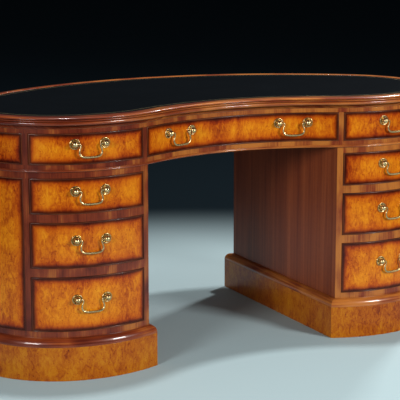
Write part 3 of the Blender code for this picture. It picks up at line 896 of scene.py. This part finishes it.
def addStrip(shape, x0, x1, heights):
    # plain board from the front wall to the back wall
    middle = (x0 + x1) / 2
    boxBoard(shape, (x0, x1), (yAtX(middle, -wall), yAtX(middle, -wall, True)), heights, False, 1)


def addRunners(shape, xRange, low):
    left, right = sorted(xRange)
    width = carcass["runnerWidth"]
    for x0, x1 in ((left, left + width), (right - width, right)):
        addStrip(shape, x0, x1, (low - carcass["runnerHeight"], low))


def addGuide(core, side, heights):
    addStrip(core, side * sideOuterX, side * (sideOuterX + carcass["guideWall"]), heights)


def openingHeights(drawer):
    low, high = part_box(drawer + "_front")
    return low.z - layout["frontClearance"], high.z + layout["frontClearance"]


def makeFrieze():
    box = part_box("frieze_carcass")
    base, top = box[0].z, box[1].z
    opening = openingHeights("frieze_centre")
    low, high = opening
    core, beads = Shape(), Shape()
    for foot, head in ((base, low), (high, top)):
        profile = [(0.0, foot), (0.0, head), (-wall, head), (-wall, foot)]
        ringOf(core, fullLoop, fullLengths, profile, [0, 1, 1, 1], True)
    divider = lengthAtX(centreHalfX, 0.0, True)
    beadedField(core, beads, lengthSpan(divider, 2 * halfLength - divider), opening, wall, (2, 1))
    for side in (-1, 1):
        crossBoard(core, squareSpan(side * centreHalfX, side * sideInnerX), opening)
        addStiles(core, side, opening)
        crossBoard(core, lengthSpan(side * lengthAtX(sideInnerX, 0.0, True), side * divider), opening)
        addPanels(core, beads, side, opening)
        addStrip(core, side * centreHalfX, side * sideInnerX, (base, high))
        addGuide(core, side, (base, high))
        addRunners(core, (side * sideInnerX, side * sideOuterX), low)
    addRunners(core, (-centreHalfX, centreHalfX), low)
    plate(core, fullLoop(-wall)[:-1], (base, base + carcass["baseBoard"]), True, (1, 1, 3))
    seat(core.make("friezeCarcass", [crossband, innerWood, burr, mahogany], carcass["eased"]),
         "root", "carcass_walnut", "frieze_carcass")
    seat(beads.make("friezeCockBeads", [darkBead]), "root", "mahogany")


friezeBead = {"height": 0.0075, "stand": 0.0055, "seat": 0.0003, "fillet": 0.0007, "steps": 12,
              "creaseDeg": 50}


def makeFriezeBead():
    # half-round bead with a small fillet above and below it
    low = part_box("frieze_bead")[0].z
    b = friezeBead
    inner, outer, high = b["seat"], b["seat"] + b["fillet"], low + b["height"]
    middle, radius = low + b["height"] / 2, b["height"] / 2 - b["fillet"]
    profile = [(inner, low), (outer, low), (outer, middle - radius)]
    for turn in spaced(0, pi, b["steps"])[1:-1]:
        profile.append((outer + (b["stand"] - b["fillet"]) * sin(turn), middle - radius * cos(turn)))
    profile += [(outer, middle + radius), (outer, high), (inner, high)]
    bead = Shape()
    ringOf(bead, fullLoop, fullLengths, profile)
    seat(bead.make("friezeBead", [moulding], creaseDeg=b["creaseDeg"]), "root", "mahogany", "frieze_bead")


def kneeholePanel(side, heights):
    # straight inner side of a pedestal, with its polished face towards the kneehole
    edgeX, innerX = side * layout["kneeholeHalf"], side * sideInnerX
    outline = [Vector((x, yAtX(x, -wall, back), 0)) for x, back in
               ((edgeX, False), (innerX, False), (innerX, True), (edgeX, True))]
    panel = Shape()
    leaf = nextLeaf()
    for k, slot in ((3, 0), (0, 1), (1, 1), (2, 1)):
        one, two = outline[k], outline[(k + 1) % 4]
        run = [one.lerp(two, share) for share in spaced(0, 1, carcass["panelSteps"])]
        grain = [[grainPair((p - one).length, z, leaf, True) for p in run] for z in heights]
        panel.sheet([lift(run, z) for z in heights], grain, slot)
    for z in heights:
        panel.cap(lift(outline, z), [grainPair(p.x, p.y, leaf) for p in outline], 1)
    return panel


def makePedestal(side):
    word = "left" if side < 0 else "right"
    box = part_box(word + "_pedestal")
    base, top = box[0].z, box[1].z
    openings = [openingHeights(f"{word}_{level}") for level in ("lower", "middle", "upper")]
    low, high = openings[0][0], openings[-1][1]
    core, beads = Shape(), Shape()
    near, far = lengthAtX(sideInnerX), lengthAtX(sideInnerX, 0.0, True)
    drawerWay = (side * sideInnerX, side * sideOuterX)
    for heights in ((base, low), (high, top)):
        crossBoard(core, lengthSpan(side * near, side * far), heights)
    for below, above in zip(openings, openings[1:]):
        crossBoard(core, squareSpan(*drawerWay), (below[1], above[0]))
    for back in (False, True):
        endSlots = (3, 1) if (side > 0) != back else (1, 3)
        span = squareSpan(side * layout["kneeholeHalf"], side * sideInnerX, back)
        crossBoard(core, span, (base, top), endSlots)
    addStiles(core, side, (low, high))
    addPanels(core, beads, side, (low, high))
    panel = kneeholePanel(side, (base, top))
    inside = runOf(lengthSpan(near, far), 0.0, -wall, stepsAlong(far - near))
    inside = [Vector((side * p.x, p.y, 0)) for p in inside if p.x > sideInnerX]
    ends = [Vector((side * sideInnerX, yAtX(sideInnerX, -wall, back), 0)) for back in (False, True)]
    plate(core, [ends[0]] + inside + [ends[1]], (base, base + carcass["baseBoard"]), True, (1, 1, 1))
    addGuide(core, side, (base, high))
    for opening in openings:
        addRunners(core, drawerWay, opening[0])
    seat(core.make(word + "PedestalCarcass", [crossband, innerWood, burr, mahogany], carcass["eased"]),
         "root", "carcass_walnut", word + "_pedestal")
    seat(beads.make(word + "PedestalCockBeads", [darkBead]), "root", "mahogany")
    seat(panel.make(word + "KneeholePanel", [mahogany, innerWood]), "root", "carcass_walnut")


plinth = {
    "step": 0.0215,
    "wall": 0.036,
    "eased": 0.0012,
    # outline of the moulding: shares of the step outwards and of the height up; an ovolo over a small fillet
    "fillet": (0.97, 0.12),
    "ovoloSteps": 12,
    "topShare": 0.10,
    "seat": 0.0003,
    "creaseDeg": 40,
}


def makePlinth(side):
    word = "left" if side < 0 else "right"
    name = word + "_plinth"
    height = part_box(name)[1].z
    step = plinth["step"]
    inner = step - plinth["wall"]

    def loop(offset):
        return pedestalLoop(side, offset)

    body = Shape()
    profile = [(step, 0.0), (step, height), (inner, height), (inner, 0.0)]
    ringOf(body, loop, pedestalLengths, profile, [0, 1, 1, 1])
    seat(body.make(word + "Plinth", [plinthBurr, innerWood], plinth["eased"]), "root", "burr_walnut", name)

    low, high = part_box(name + "_moulding")[0].z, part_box(name + "_moulding")[1].z
    filletOut, filletUp = plinth["fillet"]
    topOut, filletTop = step * plinth["topShare"], low + (high - low) * filletUp
    profile = [(plinth["seat"], high), (plinth["seat"], low), (step, low), (step, filletTop),
               (step * filletOut, filletTop)]
    reachOut, reachUp = step * (filletOut - plinth["topShare"]), (high - low) * (1 - filletUp)
    for turn in spaced(0, pi / 2, plinth["ovoloSteps"])[1:]:
        profile.append((topOut + reachOut * cos(turn), filletTop + reachUp * sin(turn)))
    ring = Shape()
    ringOf(ring, loop, pedestalLengths, profile)
    seat(ring.make(word + "PlinthMoulding", [moulding], creaseDeg=plinth["creaseDeg"]),
         "root", "mahogany", name + "_moulding")


makeFrieze()
makeFriezeBead()
for deskSide in (-1, 1):
    makePedestal(deskSide)
    makePlinth(deskSide)
print("carcass made")


# Drawers

drawerParts = {
    "frontThickness": 0.018,
    "boxSide": 0.010,
    "boxBottom": 0.006,
    "backDrop": 0.008,
    "boxGap": 0.0003,
    "eased": 0.0002,
}


def makeFront(drawer, body, xRange):
    low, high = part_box(drawer + "_front")
    span = squareSpan(min(xRange) + layout["frontClearance"], max(xRange) - layout["frontClearance"])
    core, beads = Shape(), Shape()
    beadedField(core, beads, span, (low.z, high.z), drawerParts["frontThickness"], (0, 1))
    seat(core.make(drawer + "_veneer", [burr, oak]), body, "burr_walnut", drawer + "_front")
    seat(beads.make(drawer + "_cockBead", [darkBead]), body, "mahogany")


def makeBox(drawer, body):
    # two sides, a lower back and a bottom let in between them
    low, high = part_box(drawer + "_box")
    side, bottom = drawerParts["boxSide"], drawerParts["boxBottom"]
    offset = -drawerParts["frontThickness"] - drawerParts["boxGap"]
    box = Shape()

    def behindFront(xs):
        # outline from the front's back face, at each of xs, to the box's back
        front = [Vector((x, yAtX(x, offset), 0)) for x in xs]
        return front + [Vector((xs[-1], high.y, 0)), Vector((xs[0], high.y, 0))]

    for x0, x1 in ((low.x, low.x + side), (high.x - side, high.x)):
        plate(box, behindFront((x0, x1)), (low.z, high.z), False)
    inner0, inner1 = low.x + side, high.x - side
    backHeights = (low.z + bottom, high.z - drawerParts["backDrop"])
    boxBoard(box, (inner0, inner1), (high.y - side, high.y), backHeights)
    plate(box, behindFront(spaced(inner0, inner1, stepsAlong(inner1 - inner0))), (low.z, low.z + bottom))
    seat(box.make(drawer + "_lining", [oak], drawerParts["eased"]), body, "drawer_oak", drawer + "_box")


# Handles: dished roses, necks and balls turned on one axis, and swan-neck bails

post = {
    "ballRadius": 0.0092,
    "roseRadius": 0.0155,
    "roseHeight": 0.0036,
    "dish": 0.0010,
    "neckRadius": 0.0044,
    "shankRadius": 0.0022,
    "shankReach": 0.004,
    "holeRadius": 0.0027,
    "holeSides": 24,
    "sides": 40,
    "nutRadius": 0.0050,
    "nutHeight": 0.0030,
    "nutSides": 6,
    "nutNose": 0.9,
    "shankSides": 16,
    "shankNose": 0.8,
    "eased": 0.0004,
    "creaseDeg": 38,
    "headingSlack": 0.01,
    # outline from the front out: the rose's foot as shares of its radius and heights in metres,
    # then its rim as shares of its radius and height
    "foot": ((0.0, 0.0002), (0.985, 0.0002), (1.0, 0.0006)),
    "rim": ((1.0, 0.50), (0.985, 0.78), (0.95, 0.95), (0.905, 1.0), (0.86, 0.95), (0.82, 0.78), (0.78, 0.56)),
    # then the dish and the neck, as shares of the rose's or neck's radius and of the dish's height
    "dishLine": ((0.68, 1.10), (0.52, 0.98)),
    "neckLine": ((1.42, 1.02), (1.34, 1.75), (1.05, 2.3)),
    "waist": (0.96, 0.5),
    "ballSteps": 17,
    "ballEndDeg": 162,
    "button": ((0.92, 0.0004), (0.6, 0.0009), (0.0, 0.0011)),  # share of its radius, height above the ball
}
bail = {
    "spacing": 0.092,  # between the middles of its two balls
    "drop": 0.0385,
    "endRadius": 0.0019,
    "gripRadius": 0.0032,
    "swelling": 1.2,
    "pinDepth": 0.0024,
    "pinGap": 0.0006,
    "sides": 14,
    "stepsEach": 9,
    # half of its centre line: shares of half the spacing, and of the drop
    "shares": ((0.71, 0.0), (0.63, 0.09), (0.655, 0.27), (0.72, 0.48), (0.71, 0.74), (0.51, 0.95),
               (0.0, 1.0)),
}
jointOf = {joint["name"]: joint for joint in frame["joints"]}


def turned(shape, foot, axis, profile, sides):
    # profile is a list of (radius, height) along the axis
    across = axis.cross(Vector((0, 0, 1))).normalized()
    up = across.cross(axis)
    turns = spaced(0, 2 * pi, sides)
    rows = [[foot + axis * h + (across * cos(a) + up * sin(a)) * r for a in turns] for r, h in profile]
    shape.sheet(rows, [[(a * r, h) for a in turns] for r, h in profile])


def postProfile(stand):
    # rose with a raised rim and a dish, a waisted neck, and a ball with a small button on its front
    ball, rose, height = post["ballRadius"], post["roseRadius"], post["roseHeight"]
    dish, neck = post["dish"], post["neckRadius"]
    profile = [(rose * out, up) for out, up in post["foot"]]
    for radius, rise, line in ((rose, height, "rim"), (rose, dish, "dishLine"), (neck, dish, "neckLine")):
        profile += [(radius * out, rise * up) for out, up in post[line]]
    waist = stand - sqrt(ball ** 2 - neck ** 2)
    neckLow = profile[-1][1]
    narrow, share = post["waist"]
    profile += [(neck * narrow, neckLow + (waist - neckLow) * share), (neck, waist)]
    for turn in spaced(asin(neck / ball), radians(post["ballEndDeg"]), post["ballSteps"])[1:]:
        profile.append((ball * sin(turn), stand - ball * cos(turn)))
    tip = profile[-1]
    return profile + [(tip[0] * share, tip[1] + rise) for share, rise in post["button"]]


def nutProfiles():
    # the nut, and the end of the shank that stands out of it
    back = -drawerParts["frontThickness"]
    face, end = back - post["nutHeight"], back - post["shankReach"]
    nut, shank, eased = post["nutRadius"], post["shankRadius"], post["eased"]
    return ([(0.0, back), (nut, back), (nut, face + eased), (nut * post["nutNose"], face), (shank, face)],
            [(shank, face), (shank, end + eased), (shank * post["shankNose"], end), (0.0, end)])


def postFrame(ball):
    # axis out of the front through the ball's centre, and how far the ball stands off the front
    best, slack = None, post["headingSlack"]
    for cx, cy, radius, first, last in arcs[:3]:
        bowed = 1 if radius > 0 else -1
        for sign in (-1, 1):
            away = ball - Vector((sign * cx, cy, ball.z))
            heading = atan2(bowed * sign * away.x, -bowed * away.y)
            if min(first, last) - slack <= heading <= max(first, last) + slack:
                stand = bowed * away.length - radius
                if best is None or abs(stand) < abs(best[1]):
                    best = (away.normalized() * bowed, stand)
    return best


def drill(piece, start, end, radius):
    # socket for the bail's pin
    tool = Shape()
    length = (end - start).length
    profile = [(0.0, 0.0), (radius, 0.0), (radius, length), (0.0, length)]
    turned(tool, start, (end - start).normalized(), profile, post["holeSides"])
    cutter = tool.make("cutter", [])
    modifier = piece.modifiers.new("socket", "BOOLEAN")
    modifier.operation = "DIFFERENCE"
    modifier.object = cutter
    graph = bpy.context.evaluated_depsgraph_get()
    mesh = bpy.data.meshes.new_from_object(piece.evaluated_get(graph))
    piece.modifiers.clear()
    piece.data = mesh
    bpy.data.objects.remove(cutter)
    mesh.set_sharp_from_angle(angle=radians(post["creaseDeg"]))


def smoothPath(points, steps):
    # Catmull-Rom curve through the points
    ends = [points[0] * 2 - points[1]] + list(points) + [points[-1] * 2 - points[-2]]
    found = []
    for a, b, c, d in zip(ends, ends[1:], ends[2:], ends[3:]):
        for k in range(steps):
            t = k / steps
            found.append((b * 2 + (c - a) * t + (a * 2 - b * 5 + c * 4 - d) * t ** 2
                          + (b * 3 - a - c * 3 + d) * t ** 3) / 2)
    found.append(points[-1])
    return found


def makeBail(handle, joint):
    pivot, hinge = Vector(joint["pos_m"]), Vector(joint["axis"]).normalized()
    spacing, drop = bail["spacing"], bail["drop"]
    half = [Vector((spacing / 2 - post["ballRadius"] + bail["pinDepth"], 0, 0))]
    half += [Vector((across * spacing / 2, 0, -down * drop)) for across, down in bail["shares"]]
    path = smoothPath(half + [Vector((-p.x, 0, p.z)) for p in half[-2::-1]], bail["stepsEach"])
    up, depth = Vector((0, 0, 1)), Vector((0, 1, 0))
    turn = Matrix((hinge, up.cross(hinge), up)).transposed()
    turns = spaced(0, 2 * pi, bail["sides"])
    rows, grain, along = [], [], 0.0
    for k, point in enumerate(path):
        before, after = path[max(k - 1, 0)], path[min(k + 1, len(path) - 1)]
        across = (after - before).normalized().cross(depth)
        share = max(0.0, -point.z / drop) ** bail["swelling"]
        radius = bail["endRadius"] + (bail["gripRadius"] - bail["endRadius"]) * share
        rows.append([pivot + turn @ (point + (across * cos(a) + depth * sin(a)) * radius) for a in turns])
        along += (point - path[k - 1]).length if k else 0.0
        grain.append([(along, a * radius) for a in turns])
    wire = Shape()
    wire.sheet(rows, grain)
    for row in (rows[0], rows[-1]):
        wire.cap(row[:-1], [(0.0, 0.0)] * bail["sides"])
    seat(wire.make(handle + "_swanNeck", [brass]), joint["child"], "polished_brass", handle + "_bail")


def makeHandle(handle, drawerBody):
    joint = jointOf[handle + "_swing"]
    hinge = Vector(joint["axis"]).normalized()
    for end, inward in (("left", -hinge), ("right", hinge)):
        ball = Vector(joint["pos_m"]) - inward * bail["spacing"] / 2
        axis, stand = postFrame(ball)
        foot = ball - axis * stand
        body = Shape()
        turned(body, foot, axis, postProfile(stand), post["sides"])
        piece = body.make(f"{handle}_post_{end}_turning", [brass], creaseDeg=post["creaseDeg"])
        deep = post["ballRadius"] - bail["pinDepth"] - bail["pinGap"]
        drill(piece, ball + inward * deep, ball + inward * 2 * post["ballRadius"], post["holeRadius"])
        seat(piece, drawerBody, "polished_brass", f"{handle}_post_{end}")
        nut = Shape()
        for outline, sides in zip(nutProfiles(), (post["nutSides"], post["shankSides"])):
            turned(nut, foot, axis, outline, sides)
        seat(nut.make(f"{handle}_nut_{end}", [brass]), drawerBody, "polished_brass")
    makeBail(handle, joint)


drawerRanges = {"frieze_centre": (-centreHalfX, centreHalfX)}
for word, sign in (("left", -1), ("right", 1)):
    for drawerName in ("frieze_" + word, word + "_lower", word + "_middle", word + "_upper"):
        drawerRanges[drawerName] = (sign * sideInnerX, sign * sideOuterX)
for drawerName, openingRange in drawerRanges.items():
    drawerBody = drawerName + "_drawer"
    makeFront(drawerName, drawerBody, openingRange)
    makeBox(drawerName, drawerBody)
    for end in ("_left", "_right") if drawerName == "frieze_centre" else ("",):
        makeHandle(drawerName + end, drawerBody)
print("drawers and handles made")
